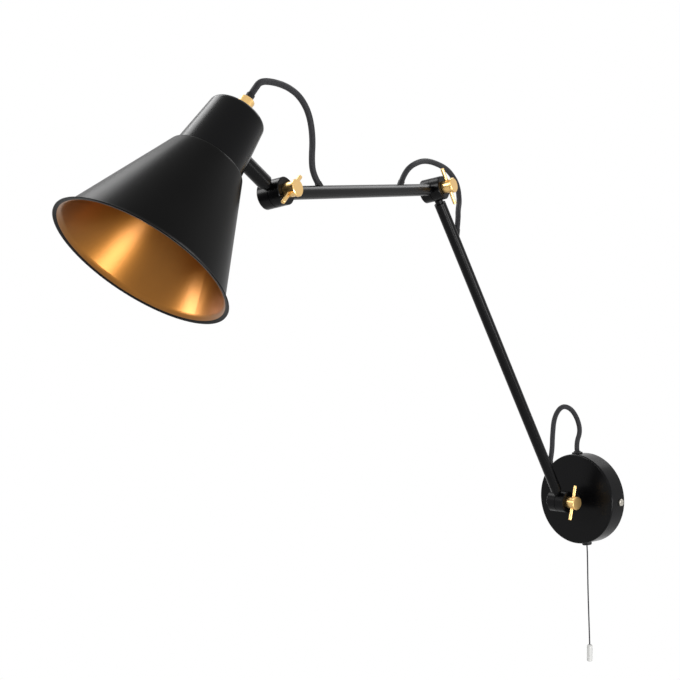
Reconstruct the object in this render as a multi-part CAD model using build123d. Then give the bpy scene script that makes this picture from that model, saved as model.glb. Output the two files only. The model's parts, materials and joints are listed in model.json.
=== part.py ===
from build123d import *
import os
from math import atan, cos, degrees, radians, sin, tan

# Articulating wall lamp, millimetres. Origin: centre of the wall rose's back, on the wall.
# +X is right when facing the wall, +Y goes into the wall, +Z is up. The lamp reaches out along -Y.

# ---------------------------------------------------------------- driving dimensions
# wall rose
rose_diameter = 111.0
rose_depth = 24.8
rose_wall = 1.2
rose_edge_radius = 2.2
outlet_depth = 12.2          # the cable gland and the pull switch, out from the wall
gland_lean = 7.0             # degrees from the top of the rose, towards -X
switch_lean = 9.0            # degrees from the bottom of the rose, towards +X
gland_flange_diameter = 13.5
gland_height = 3.4
gland_shank_diameter = 9.0
switch_size = (24.0, 16.0, 18.0)
switch_collar_diameter = 12.0
switch_collar_height = 3.2
side_screw_depth = 7.5       # cover screws, out from the wall
side_screw_head_diameter = 8.6
side_screw_head_height = 2.2

# wall bracket
bracket_width = 22.0
bracket_thickness = 2.0
bracket_gap = 0.4            # ears to the inside of the cover
bracket_ear = 14.0
screw_slot_spacing = 76.0
screw_slot_width = 4.8
screw_slot_length = 12.0
terminal_size = (21.0, 17.0, 14.0)
terminal_offset = -19.5
earth_screw_offset = 16.0

# stem between the rose and the first hinge
base_hinge_reach = 53.4
stem_diameter = 12.0
stem_flange_diameter = 18.0
stem_flange_height = 3.0
stem_thread_diameter = 10.0
locknut_across = 14.0
locknut_height = 4.0

# arms, from hinge axis to hinge axis
lower_arm_length = 432.0
upper_arm_length = 307.0
arm_diameter = 13.0
arm_bore = 11.0
lower_arm_rise = 58.5        # degrees above the horizontal
elbow_twist = 17.4           # degrees the elbow is swivelled about the lower arm
elbow_fold = 64.8            # degrees between the two arms' directions
head_tilt = -36.3            # degrees the stub is lifted from the upper arm's line
head_twist = -16.8           # degrees the head is swivelled about its stub

# friction hinges, three alike
barrel_diameter = 26.0
barrel_length = 24.6
barrel_edge_chamfer = 0.7
washer_diameter = 22.0
washer_thickness = 0.6
neck_diameter = 9.0
hinge_to_tube = 17.2         # hinge axis to the square-cut tube end
stud_length = 18.0
stud_clearance = 0.05        # radial, stud in tube
pivot_diameter = 6.0
pivot_clearance = 0.05       # radial, pivot screw in the halves
pivot_head_diameter = 11.0
pivot_head_height = 3.0
knob_diameter = 16.2         # the disc at its face
knob_shank_diameter = 14.0
knob_disc_thickness = 3.0
knob_length = 12.8
knob_bevel = 0.7
knob_gap = 0.3               # tightened knob to the barrel's face
tommy_bar_diameter = 4.0
tommy_bar_length = 42.5
tommy_bar_leans = {"base": 14.0, "elbow": -22.0, "head": 57.0}

# grub screws that hold the studs in the tubes
grub_diameter = 3.0
grub_place = 9.0             # from the tube end
grub_socket = 1.5
keeper_groove_depth = 1.2
keeper_groove_width = 3.4
keeper_clearance = 0.15

# braided cable, its ferrules and the bare cores inside the tubes
cable_diameter = 6.0
core_diameter = 3.6
core_clearance = 0.2
ferrule_diameter = 7.0
ferrule_lip = 1.2            # ferrule's end beyond the place where it clears the tube
# distance from the nearer hinge, and degrees between the ferrule and its tube
lower_ferrule_low = (46.5, 48.0)
lower_ferrule_high = (67.0, 40.0)
upper_ferrule_near = (81.0, 42.0)
upper_ferrule_far = (79.5, 57.0)

# lamp cup and stub
cup_bottom_diameter = 64.8
cup_top_diameter = 53.2
cup_height = 55.0
cup_wall = 1.2
cup_top_rise = 3.0
cup_edge_radius = 5.0
stub_height = 26.0           # stub axis above the cup's bottom edge, at the cup's axis
stub_reach = 81.9            # head hinge to the cup's axis
stub_diameter = 14.6
stub_plug = 9.0
stub_bolt_diameter = 6.0
stub_nut_across = 12.0
stub_nut_height = 4.0
stub_saddle_height = 2.6     # at the bolt, from the cup's inner wall to the nut

# cable grip on top of the cup
grip_flange_diameter = 17.0
grip_flange_height = 2.2
grip_neck_diameter = 14.4
grip_height = 14.2
nipple_diameter = 10.0
nipple_bore = 6.4
nipple_nut_across = 14.0
nipple_nut_height = 3.5
collar_diameter = 7.8
collar_length = 6.0

# screw lampholder
holder_diameter = 38.0
holder_cap_diameter = 32.0
holder_length = 56.0
holder_top = 12.0            # top of the holder above the stub axis
holder_wall = 3.0
holder_shoulder = 8.0        # lip above the shade
holder_shell_bore = 26.5
holder_shell_wall = 0.6
holder_shell_length = 22.0
holder_shell_inset = 3.0     # shell above the holder's mouth
contact_room = 6.0           # from the shell to the holder's floor
contact_diameter = 9.0
ring_diameter = 54.0
ring_height = 8.0
thread_clearance = 0.1

# spun shade
shade_rim_diameter = 166.6
shade_lip_corner = (156.8, 0.75)   # diameter and height above the rim where the lip turns out
shade_lip_radius = 6.5
shade_height = 110.6         # cup's bottom edge to the rim
shade_shoulder_diameter = 70.0
shade_shoulder_radius = 4.0
shade_wall = 1.0
shade_hole_clearance = 0.4

# pull cord
pull_cord_diameter = 1.6
pull_cord_inside = 12.0      # cord inside the switch, drawn out as it is pulled
bell_diameter = 7.0
bell_tip_diameter = 5.2
bell_length = 20.5

# ---------------------------------------------------------------- frames
wall_out = Vector(0, -1, 0)
base_hinge = wall_out * base_hinge_reach
base_axis = Vector(1, 0, 0)


def turned(vector, about, angle):
    """A direction turned about another through the origin, in degrees."""
    return vector.rotate(Axis((0, 0, 0), about), angle)


lower_dir = Vector(0, -cos(radians(lower_arm_rise)), sin(radians(lower_arm_rise)))
elbow_hinge = base_hinge + lower_dir * lower_arm_length
elbow_axis = turned(base_axis, lower_dir, elbow_twist)
upper_dir = turned(lower_dir, elbow_axis, elbow_fold)
head_hinge = elbow_hinge + upper_dir * upper_arm_length
head_axis = elbow_axis
stub_dir = turned(upper_dir, head_axis, head_tilt)
cup_taper = degrees(atan((cup_bottom_diameter - cup_top_diameter) / 2 / cup_height))
cup_down_square = turned(head_axis.cross(stub_dir), stub_dir, head_twist)
cup_down = cup_down_square * cos(radians(cup_taper)) + stub_dir * sin(radians(cup_taper))
cup_centre = head_hinge + stub_dir * stub_reach

wall_frame = Plane(origin=(0, 0, 0), x_dir=(1, 0, 0), z_dir=wall_out)
cup_out = (stub_dir * -1) - cup_down * ((stub_dir * -1).dot(cup_down))
cup_frame = Plane(origin=cup_centre, x_dir=cup_out, z_dir=cup_down * -1)


def placed(frame, shape):
    """A shape drawn in a frame's own coordinates, moved into the lamp."""
    return frame.location * shape


def rod(start, direction, length, diameter):
    """A round bar from a point along a direction."""
    frame = Plane(origin=start, z_dir=direction)
    return placed(frame, Pos(0, 0, length / 2) * Cylinder(diameter / 2, length))


def revolved(points):
    """A closed outline of (radius, height) points turned about Z."""
    outline = make_face(Polyline(*[(r, 0, z) for r, z in points], close=True))
    return revolve(outline, Axis.Z)


def hex_nut(across, height, bore):
    """A hexagon nut with its base on the XY plane."""
    blank = extrude(RegularPolygon(across / 2, 6, major_radius=False), height)
    return blank - Pos(0, 0, height / 2) * Cylinder(bore / 2, 2 * height)


# ---------------------------------------------------------------- wall rose
rose_radius = rose_diameter / 2
rose_inner_radius = rose_radius - rose_wall


def rose_side(angle):
    """Frame on the rose's rim at an angle from the top, Z pointing outwards."""
    out = turned(Vector(0, 0, 1), wall_out, angle)
    return Plane(origin=wall_out * outlet_depth + out * rose_radius, x_dir=wall_out, z_dir=out)


gland_frame = rose_side(gland_lean)
switch_frame = rose_side(180 + switch_lean)


def make_rose_cover():
    shell = Pos(0, 0, rose_depth / 2) * Cylinder(rose_radius, rose_depth)
    shell = fillet(shell.edges().group_by(Axis.Z)[-1], rose_edge_radius)
    hollow_depth = rose_depth - rose_wall
    hollow = Pos(0, 0, hollow_depth / 2) * Cylinder(rose_inner_radius, hollow_depth)
    hollow = fillet(hollow.edges().group_by(Axis.Z)[-1], rose_edge_radius - rose_wall)
    cover = placed(wall_frame, shell - hollow)
    cover -= rod((0, 0, 0), wall_out, 2 * rose_depth, stem_thread_diameter + 0.4)
    for frame in (gland_frame, switch_frame):
        cover -= placed(frame, Cylinder(gland_shank_diameter / 2 + 0.2, 8))
    for side in (-1, 1):
        start = Vector(side * (rose_inner_radius - 4), -side_screw_depth, 0)
        cover -= rod(start, Vector(side, 0, 0), 10, 4.3)
    return cover


bracket_half = rose_inner_radius - bracket_gap


def make_wall_bracket():
    strip = Pos(0, 0, bracket_thickness / 2) * Box(2 * bracket_half, bracket_width, bracket_thickness)
    ear_height = bracket_ear - bracket_thickness
    for side in (-1, 1):
        ear_x = side * (bracket_half - bracket_thickness / 2)
        ear_z = bracket_thickness + ear_height / 2
        strip += Pos(ear_x, 0, ear_z) * Box(bracket_thickness, bracket_width, ear_height)
    strip &= Pos(0, 0, bracket_ear / 2) * Cylinder(bracket_half, bracket_ear)
    for side in (-1, 1):
        slot = SlotOverall(screw_slot_length, screw_slot_width)
        strip -= Pos(side * screw_slot_spacing / 2, 0, 0) * extrude(slot, bracket_thickness)
        strip -= Pos(side * bracket_half, 0, side_screw_depth) * Rot(0, 90, 0) * Cylinder(1.7, 12)
    strip -= Pos(earth_screw_offset, 0, bracket_thickness / 2) * Cylinder(1.7, 2 * bracket_thickness)
    return placed(wall_frame, strip)


def make_cover_side_screws():
    screws = []
    for side in (-1, 1):
        out = Vector(side, 0, 0)
        seat = Vector(side * rose_radius, -side_screw_depth, 0)
        screw = rod(seat, out, side_screw_head_height, side_screw_head_diameter)
        screw = fillet(screw.edges().sort_by(Axis.X)[-1 if side > 0 else 0], 1.2)
        screw += rod(seat, out * -1, 7.5, 3.2)
        slot = Pos(*(seat + out * side_screw_head_height)) * Box(2.0, side_screw_head_diameter, 1.3)
        screws.append(screw - slot)
    return Compound(children=screws)


def make_earth_screw():
    seat = Vector(earth_screw_offset, -bracket_thickness, 0)
    screw = rod(seat, wall_out, 3.0, 7.0) + rod(seat, wall_out * -1, bracket_thickness - 0.3, 3.2)
    return screw - Pos(*(seat + wall_out * 3.0)) * Box(8, 2.0, 1.0)


def make_terminal_block():
    width, height, depth = terminal_size
    block = Pos(terminal_offset, 0, bracket_thickness + depth / 2) * Box(width, height, depth)
    block = fillet(block.edges().filter_by(Axis.Z), 1.5)
    pitch = width / 3
    for way in (-1, 0, 1):
        x = terminal_offset + way * pitch
        top = bracket_thickness + depth
        block -= Pos(x, 0, top) * Cylinder(2.2, 6)
        block -= Pos(x, height / 2, bracket_thickness + depth / 2) * Rot(90, 0, 0) * Cylinder(2.0, 12)
    return placed(wall_frame, block)


def make_pull_switch_body():
    width, height, depth = switch_size
    neck = rose_wall + 2.0
    body = Pos(0, 0, -neck - height / 2) * Box(depth, width, height)
    body = fillet(body.edges().filter_by(Axis.Z), 2)
    body += Pos(0, 0, -neck / 2) * Cylinder(gland_shank_diameter / 2, neck)
    body -= Pos(0, 0, -pull_cord_inside / 2) * Cylinder(pull_cord_diameter / 2 + 0.3, pull_cord_inside)
    return placed(switch_frame, body)


def make_pull_switch_collar():
    radius = switch_collar_diameter / 2
    collar = Pos(0, 0, switch_collar_height / 2) * Cylinder(radius, switch_collar_height)
    collar = fillet(collar.edges().group_by(Axis.Z)[-1], 2.0)
    return placed(switch_frame, collar - Cylinder(pull_cord_diameter / 2 + 0.3, 20))


def make_rose_cable_gland():
    shank = gland_shank_diameter / 2
    flange = gland_flange_diameter / 2
    bore = cable_diameter / 2 + 0.1
    inner = rose_wall + 5
    profile = [
        (bore, -inner), (shank, -inner), (shank, 0), (flange, 0), (flange, 1.2),
        (flange - 0.9, 2.0), (shank + 0.1, 2.2), (shank - 0.6, gland_height), (bore, gland_height),
    ]
    return placed(gland_frame, revolved(profile))


def make_rose_cable_run():
    block_top = terminal_size[1] / 2
    inside = gland_frame.origin + gland_frame.z_dir * gland_height
    route = [
        inside,
        gland_frame.origin - gland_frame.z_dir * 18,
        Vector(terminal_offset, -(bracket_thickness + terminal_size[2] / 2), 22),
        Vector(terminal_offset, -(bracket_thickness + terminal_size[2] / 2), block_top),
    ]
    return cable_tube(route, "rose cable run")


# ---------------------------------------------------------------- cable
def corner_radii(points):
    """As large an arc at each corner of a route as its two runs allow."""
    radii = []
    for before, corner, after in zip(points, points[1:], points[2:]):
        into, out = corner - before, after - corner
        half_turn = radians(into.get_angle(out) / 2)
        radii.append(0.45 * min(into.length, out.length) / tan(half_turn))
    return radii


def cable_tube(points, name, diameter=cable_diameter):
    """A cable of straight runs and tangent arcs along a route."""
    radii = corner_radii(points)
    path = FilletPolyline(*points, radius=radii)
    section = Plane(origin=path @ 0, z_dir=path % 0) * Circle(diameter / 2)
    tube = sweep(section, path)
    ideal = section.area * path.length
    print(f"{name}: length {path.length:.1f}, volume {tube.volume / ideal:.4f} of section x length,"
          f" radii {[round(r, 1) for r in radii]}")
    return tube


def across(direction, axis):
    """The direction square to an arm in its hinge's plane, on the upper or wall side."""
    return axis.cross(direction) * -1


lower_side = across(lower_dir, base_axis)
upper_side = across(upper_dir, elbow_axis)


def ferrule_line(hinge, arm, side, ferrule, towards=1):
    """A ferrule's foot on the tube's axis and its direction outwards.

    towards is 1 where it leans along the arm's given direction and -1 where it leans back.
    """
    place, lean = ferrule
    out = arm * (towards * cos(radians(lean))) + side * sin(radians(lean))
    return hinge + arm * place, out, lean


lower_low = ferrule_line(base_hinge, lower_dir, lower_side, lower_ferrule_low)
lower_high = ferrule_line(elbow_hinge, lower_dir * -1, lower_side, lower_ferrule_high, -1)
upper_near = ferrule_line(elbow_hinge, upper_dir, upper_side, upper_ferrule_near, -1)
upper_far = ferrule_line(head_hinge, upper_dir * -1, upper_side, upper_ferrule_far, -1)


def ferrule_reach(lean):
    """From the tube's axis to the ferrule's end, just beyond where its lower side clears the tube."""
    clear = arm_diameter / 2 + ferrule_diameter / 2 * cos(radians(lean))
    return clear / sin(radians(lean)) + ferrule_lip


def ferrule_end(line):
    foot, out, lean = line
    return foot + out * ferrule_reach(lean)


def make_ferrules(lines, arm):
    """Cable ferrules, each with a saddle that seats on its tube."""
    pieces = []
    for foot, out, lean in lines:
        reach = ferrule_reach(lean)
        ferrule = rod(foot, out, reach, ferrule_diameter)
        ferrule = chamfer(ferrule.edges().sort_by(lambda e: (e.center() - foot).length)[-1], 0.4)
        ferrule -= rod(foot, out, reach, core_diameter + 2 * core_clearance)
        ferrule -= rod(foot - arm * 30, arm, 60, arm_diameter)
        pieces.append(ferrule)
    return Compound(children=pieces)


def make_core_run(first, second):
    """The bare cores from ferrule to ferrule inside a tube."""
    start, end = first[0], second[0]
    run = rod(start, end - start, (end - start).length, core_diameter)
    for foot, out, lean in (first, second):
        run += rod(foot, out, ferrule_reach(lean), core_diameter)
        run += Pos(*foot) * Sphere(core_diameter / 2)
    return run


# ---------------------------------------------------------------- friction hinges
barrel_radius = barrel_diameter / 2
half_gap = washer_thickness / 2
half_length = barrel_length / 2 - half_gap
stud_diameter = arm_bore - 2 * stud_clearance


def make_hinge_half(hinge, axis, arm, side, keeper=False, tail=stud_length, tail_diameter=stud_diameter):
    """One half of a barrel, with its neck centred on the split and its stud.

    side is +1 for the half next to the knob. keeper cuts the groove that lets the tube swivel.
    """
    frame = Plane(origin=hinge, x_dir=arm, z_dir=axis)
    disc = Pos(0, 0, side * (half_gap + half_length / 2)) * Cylinder(barrel_radius, half_length)
    outer_edge = disc.edges().sort_by(Axis.Z)[-1 if side > 0 else 0]
    disc = chamfer(outer_edge, barrel_edge_chamfer)
    other_half = Pos(0, 0, -side * (half_length / 2 - half_gap)) * Cylinder(barrel_radius + 0.5, half_length)
    neck = Pos((hinge_to_tube + 8) / 2, 0, 0) * Rot(0, 90, 0)
    neck = neck * Cylinder(neck_diameter / 2, hinge_to_tube - 8) - other_half
    stud = Pos(hinge_to_tube + tail / 2, 0, 0) * Rot(0, 90, 0) * Cylinder(tail_diameter / 2, tail)
    if keeper:
        ring = Rot(0, 90, 0) * Cylinder(tail_diameter, keeper_groove_width)
        ring -= Rot(0, 90, 0) * Cylinder(tail_diameter / 2 - keeper_groove_depth, keeper_groove_width)
        stud -= Pos(hinge_to_tube + grub_place, 0, 0) * ring
    half = disc + neck + stud
    half -= Cylinder(pivot_diameter / 2 + pivot_clearance, 2 * barrel_length)
    if side < 0:
        seat = Pos(0, 0, -barrel_length / 2 + pivot_head_height / 4)
        half -= seat * Cylinder(pivot_head_diameter / 2 + 0.1, pivot_head_height / 2)
    return placed(frame, half)


def make_friction_washer(hinge, axis):
    washer = Cylinder(washer_diameter / 2, washer_thickness)
    washer -= Cylinder(pivot_diameter / 2 + pivot_clearance, 2)
    return placed(Plane(origin=hinge, z_dir=axis), washer)


knob_seat = barrel_length / 2 + knob_gap
bar_place = knob_seat + (knob_length - knob_disc_thickness) / 2 + 0.6


def make_pivot_screw(hinge, axis):
    """Domed head on the far face, shank through both halves into the knob."""
    foot = -barrel_length / 2 + pivot_head_height / 2
    shank_end = bar_place - tommy_bar_diameter / 2 - 0.3
    shank = Pos(0, 0, (foot + shank_end) / 2) * Cylinder(pivot_diameter / 2, shank_end - foot)
    head = Pos(0, 0, foot - pivot_head_height / 2) * Cylinder(pivot_head_diameter / 2, pivot_head_height)
    head = fillet(head.edges().sort_by(Axis.Z)[0], 1.4)
    return placed(Plane(origin=hinge, z_dir=axis), shank + head)


def make_knob(hinge, axis, bar):
    """Brass shank with a bevelled disc at its face and a cross hole for its tommy bar."""
    knob = Pos(0, 0, knob_length - knob_disc_thickness / 2) * Cylinder(knob_diameter / 2, knob_disc_thickness)
    knob = chamfer(knob.edges().group_by(Axis.Z)[-1] + knob.edges().group_by(Axis.Z)[0], knob_bevel)
    knob += Pos(0, 0, knob_length / 2) * Cylinder(knob_shank_diameter / 2, knob_length - 0.2)
    knob = Pos(0, 0, knob_seat) * knob
    knob -= Pos(0, 0, knob_seat) * Cylinder(pivot_diameter / 2 + pivot_clearance, 2 * (bar_place - knob_seat))
    knob = placed(Plane(origin=hinge, z_dir=axis), knob)
    return knob - rod(hinge + axis * bar_place - bar * 20, bar, 40, tommy_bar_diameter + 0.1)


def make_tommy_bar(hinge, axis, bar):
    start = hinge + axis * bar_place - bar * (tommy_bar_length / 2)
    rod_bar = rod(start, bar, tommy_bar_length, tommy_bar_diameter)
    ends = [e for e in rod_bar.edges() if e.geom_type == GeomType.CIRCLE]
    return fillet(ends, 0.8)


hinges = {
    "base": (base_hinge, base_axis),
    "elbow": (elbow_hinge, elbow_axis),
    "head": (head_hinge, head_axis),
}
bar_directions = {
    "base": turned(Vector(0, 0, 1), base_axis, -tommy_bar_leans["base"]),
    "elbow": turned(across(upper_dir, elbow_axis), elbow_axis, -tommy_bar_leans["elbow"]),
    "head": turned(across(upper_dir, head_axis), head_axis, -tommy_bar_leans["head"]),
}


# ---------------------------------------------------------------- stem, arms and stub
def make_stem():
    """Flanged stem with a threaded tail through the rose and a tapped front end."""
    front = base_hinge_reach - hinge_to_tube
    profile = [
        (0, rose_depth - rose_wall - 10), (stem_thread_diameter / 2, rose_depth - rose_wall - 10),
        (stem_thread_diameter / 2, rose_depth), (stem_flange_diameter / 2, rose_depth),
        (stem_flange_diameter / 2, rose_depth + stem_flange_height - 1),
        (stem_flange_diameter / 2 - 1, rose_depth + stem_flange_height),
        (stem_diameter / 2, rose_depth + stem_flange_height), (stem_diameter / 2, front), (0, front),
    ]
    stem = placed(wall_frame, revolved(profile))
    return stem - rod(base_hinge - wall_out * hinge_to_tube, wall_out * -1, 10.5, 8.1)


def make_stem_locknut():
    foot = rose_depth - rose_wall - locknut_height
    nut = hex_nut(locknut_across, locknut_height, stem_thread_diameter + 0.1)
    return placed(wall_frame, Pos(0, 0, foot) * nut)


def grub_line(hinge, arm, side):
    """Where a grub screw stands on a tube, and its direction outwards, away from the cable."""
    return hinge + arm * (hinge_to_tube + grub_place), side * -1


def make_grub_screws(lines, swivels):
    pieces = []
    for (place, out), swivel in zip(lines, swivels):
        depth = stud_diameter / 2 + 0.05
        if swivel:
            depth = stud_diameter / 2 - keeper_groove_depth + keeper_clearance
        screw = rod(place + out * depth, out, arm_diameter / 2 - depth, grub_diameter)
        screw -= rod(place + out * (arm_diameter / 2 - grub_socket / 2), out, 2, grub_socket)
        pieces.append(screw)
    return Compound(children=pieces)


def make_arm_tube(hinge, arm, length, ferrules, grubs):
    start = hinge + arm * hinge_to_tube
    tube_length = length - 2 * hinge_to_tube
    tube = rod(start, arm, tube_length, arm_diameter) - rod(start, arm, tube_length, arm_bore)
    for foot, out, _ in ferrules:
        tube -= rod(foot, out, 20, core_diameter + 2 * core_clearance)
    for place, out in grubs:
        tube -= rod(place, out, 20, grub_diameter + 0.05)
    return tube


def cup_radius(height):
    """Outside radius of the cup, height measured from the stub's axis."""
    return cup_bottom_diameter / 2 - tan(radians(cup_taper)) * (height + stub_height)


stub_start = head_hinge + stub_dir * hinge_to_tube
cup_wall_place = stub_reach - cup_radius(0) * cos(radians(cup_taper))
stub_grub = grub_line(head_hinge, stub_dir, across(stub_dir, head_axis) * -1)


def make_stub_tube():
    """Stub with a bore for the hinge stud and a tapped plug at the cup."""
    length = cup_wall_place - hinge_to_tube
    tube = rod(stub_start, stub_dir, length + 4, stub_diameter)
    tube -= rod(stub_start, stub_dir, length - stub_plug, arm_bore)
    tube -= rod(stub_start + stub_dir * (length - 6), stub_dir, 12, stub_bolt_diameter + 0.1)
    place, out = stub_grub
    tube -= rod(place, out, 20, grub_diameter + 0.05)
    return tube - placed(cup_frame, cup_body(0))


def make_stub_bolt():
    """Bolt from inside the cup into the stub's plug."""
    inner = cup_wall_place + cup_wall + stub_saddle_height + stub_nut_height + 1
    outer = cup_wall_place - 5.5
    return rod(head_hinge + stub_dir * outer, stub_dir, inner - outer, stub_bolt_diameter)


def make_stub_saddle():
    """Washer under the nut, its outer face shaped to the inside of the cup."""
    start = head_hinge + stub_dir * (cup_wall_place - 3)
    blank = rod(start, stub_dir, 3 + cup_wall + stub_saddle_height, stub_nut_across + 2)
    blank -= rod(start, stub_dir, 12, stub_bolt_diameter + 0.2)
    return blank & placed(cup_frame, cup_body(cup_wall))


def make_stub_nut():
    foot = head_hinge + stub_dir * (cup_wall_place + cup_wall + stub_saddle_height)
    nut = hex_nut(stub_nut_across, stub_nut_height, stub_bolt_diameter + 0.1)
    return placed(Plane(origin=foot, z_dir=stub_dir), nut)


# ---------------------------------------------------------------- lamp cup and its fittings
cup_bottom = -stub_height
cup_top = cup_height - stub_height
cup_crown = cup_top + cup_top_rise
crown_flat = grip_flange_diameter / 2 + 1.5


def cup_body(inset):
    """Solid inside the cup's outer surface, or inside a surface set in from it by a wall."""
    corner = (cup_top_diameter / 2 - inset, cup_top - inset)
    low = (cup_bottom_diameter / 2 - inset, cup_bottom)
    crown = cup_crown - inset
    radii = [cup_edge_radius - inset, cup_edge_radius]
    side = FilletPolyline(low, corner, (crown_flat, crown), (0, crown), radius=radii)
    closing = Polyline((0, crown), (0, cup_bottom), low)
    return revolve(make_face(Plane.XZ * (side + closing)), Axis.Z)


def make_lamp_cup():
    cup = cup_body(0) - cup_body(cup_wall)
    cup -= Pos(0, 0, cup_crown) * Cylinder(nipple_diameter / 2 + 0.2, 20)
    cup = placed(cup_frame, cup)
    return cup - rod(head_hinge + stub_dir * (cup_wall_place - 5), stub_dir, 12, stub_bolt_diameter + 0.2)


def make_cable_grip():
    """Brass grip: a flange on the crown and a drum that holds the cable."""
    bore = cable_diameter / 2 + 0.1
    socket = nipple_diameter / 2 + 0.05
    flange = grip_flange_diameter / 2
    neck = grip_neck_diameter / 2
    foot = cup_crown
    profile = [
        (socket, foot), (flange, foot), (flange, foot + grip_flange_height),
        (neck, foot + grip_flange_height + 0.8), (neck, foot + grip_height - 0.8),
        (neck - 0.8, foot + grip_height), (bore, foot + grip_height),
        (bore, foot + 5), (socket, foot + 5),
    ]
    return placed(cup_frame, revolved(profile))


def make_holder_nipple():
    low = holder_top - 6
    high = cup_crown + 5
    tube = Pos(0, 0, (low + high) / 2) * Cylinder(nipple_diameter / 2, high - low)
    tube -= Pos(0, 0, (low + high) / 2) * Cylinder(nipple_bore / 2, high - low)
    return placed(cup_frame, tube)


def make_nipple_nut():
    nut = hex_nut(nipple_nut_across, nipple_nut_height, nipple_diameter + 0.1)
    return placed(cup_frame, Pos(0, 0, cup_crown - cup_wall - nipple_nut_height) * nut)


collar_foot = cup_crown + grip_height
collar_end = collar_foot + collar_length


def make_cable_collar():
    collar = Pos(0, 0, collar_foot + collar_length / 2) * Cylinder(collar_diameter / 2, collar_length)
    collar -= Pos(0, 0, collar_foot + collar_length / 2) * Cylinder(cable_diameter / 2 + 0.05, collar_length)
    return placed(cup_frame, collar)


def make_head_cable_run():
    low = holder_top - 5
    run = Pos(0, 0, (low + collar_end) / 2) * Cylinder(cable_diameter / 2, collar_end - low)
    return placed(cup_frame, run)


shade_top = cup_bottom
holder_bottom = holder_top - holder_length


def make_lampholder_body():
    """Insulating holder: a domed cap, a shoulder over the shade and a threaded skirt under it."""
    cap = holder_cap_diameter / 2
    skirt = holder_diameter / 2
    inside = holder_shell_bore / 2 + holder_shell_wall + 0.2
    entry = nipple_diameter / 2 + 0.05
    shoulder = shade_top + holder_shoulder
    floor = holder_bottom + holder_shell_inset + holder_shell_length + contact_room
    profile = [
        (entry, holder_top), (cap - 4, holder_top), (cap, holder_top - 5), (cap, shoulder + 3),
        (skirt + 3, shoulder), (skirt + 3, shade_top), (skirt, shade_top), (skirt, holder_bottom),
        (inside, holder_bottom), (inside, floor), (5.2, floor), (5.2, holder_top - 6), (entry, holder_top - 6),
    ]
    return placed(cup_frame, revolved(profile))


def make_lampholder_shell():
    outer = holder_shell_bore / 2 + holder_shell_wall
    low = holder_bottom + holder_shell_inset
    shell = Pos(0, 0, low + holder_shell_length / 2) * Cylinder(outer, holder_shell_length)
    shell -= Pos(0, 0, low + holder_shell_length / 2) * Cylinder(holder_shell_bore / 2, holder_shell_length)
    return placed(cup_frame, shell)


def make_lampholder_contact():
    floor = holder_bottom + holder_shell_inset + holder_shell_length + contact_room
    button = contact_diameter / 2
    profile = [
        (0, floor - 5), (button - 2, floor - 5), (button, floor - 3.5), (button, floor - 1.5),
        (7.5, floor - 1.5), (7.5, floor), (0, floor),
    ]
    return placed(cup_frame, revolved(profile))


def make_shade_ring():
    """Threaded ring that clamps the shade up against the holder's shoulder."""
    bore = holder_diameter / 2 + thread_clearance
    top = shade_top - shade_wall
    rim = ring_diameter / 2
    profile = [
        (bore, top), (rim, top), (rim, top - 2), (bore + 3.2, top - 3),
        (bore + 3.2, top - ring_height), (bore, top - ring_height),
    ]
    return placed(cup_frame, revolved(profile))


def make_shade():
    """Spun from one sheet: flat top, rounded shoulder, cone and flared lip, thickened inwards."""
    rim_height = shade_top - shade_height
    lip_diameter, lip_rise = shade_lip_corner
    hole = (holder_diameter / 2 + shade_hole_clearance, shade_top)
    shoulder = (shade_shoulder_diameter / 2, shade_top)
    lip_corner = (lip_diameter / 2, rim_height + lip_rise)
    rim = (shade_rim_diameter / 2, rim_height)
    radii = [shade_shoulder_radius, shade_lip_radius]
    outside = FilletPolyline(hole, shoulder, lip_corner, rim, radius=radii)
    sheet = make_face(offset(outside, amount=shade_wall, side=Side.RIGHT, closed=True))
    return placed(cup_frame, revolve(Plane.XZ * sheet, Axis.Z))


# ---------------------------------------------------------------- the free cable loops
# Each route leaves its fittings straight. The points between are chosen to follow the real loops.
collar_top = cup_frame.origin + cup_frame.z_dir * collar_end
gland_top = gland_frame.origin + gland_frame.z_dir * gland_height


def beyond(line, distance):
    """A point straight out of a ferrule."""
    return ferrule_end(line) + line[1] * distance


base_loop_route = [
    gland_top,
    gland_top + gland_frame.z_dir * 10,
    Vector(-5.6, -7.8, 82.5),
    Vector(-4.9, -14.5, 99.0),
    Vector(-4.4, -28.6, 113.0),
    Vector(-3.8, -48.0, 117.2),
    Vector(-2.9, -63.4, 104.2),
    Vector(-1.4, -68.4, 82.0),
    beyond(lower_low, 11),
    ferrule_end(lower_low),
]
elbow_corner_upper = Vector(2.5, -295.0, 399.8)
elbow_corner_lower = Vector(-8.5, -257.0, 396.8)
elbow_split = (elbow_corner_upper + elbow_corner_lower) * 0.5
elbow_loop_upper_route = [
    ferrule_end(upper_near),
    beyond(upper_near, 14),
    Vector(12.6, -325.5, 391.9),
    elbow_corner_upper,
    elbow_split,
]
elbow_loop_lower_route = [
    elbow_split,
    elbow_corner_lower,
    Vector(-14.0, -238.3, 391.2),
    Vector(-17.0, -223.0, 379.0),
    Vector(-14.0, -222.6, 359.8),
    Vector(-4.6, -235.4, 348.3),
    beyond(lower_high, 12),
    ferrule_end(lower_high),
]
head_corner_cup = Vector(87.1, -579.4, 440.8)
head_corner_arm = Vector(80.8, -557.1, 439.7)
head_split = (head_corner_cup + head_corner_arm) * 0.5
head_loop_cup_route = [
    collar_top,
    collar_top + cup_frame.z_dir * 7,
    Vector(91.8, -598.0, 438.6),
    head_corner_cup,
    head_split,
]
head_loop_arm_route = [
    head_split,
    head_corner_arm,
    Vector(74.5, -536.8, 433.7),
    Vector(69.3, -521.3, 420.3),
    Vector(66.8, -514.6, 399.2),
    Vector(66.6, -516.1, 375.5),
    beyond(upper_far, 9),
    ferrule_end(upper_far),
]


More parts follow.
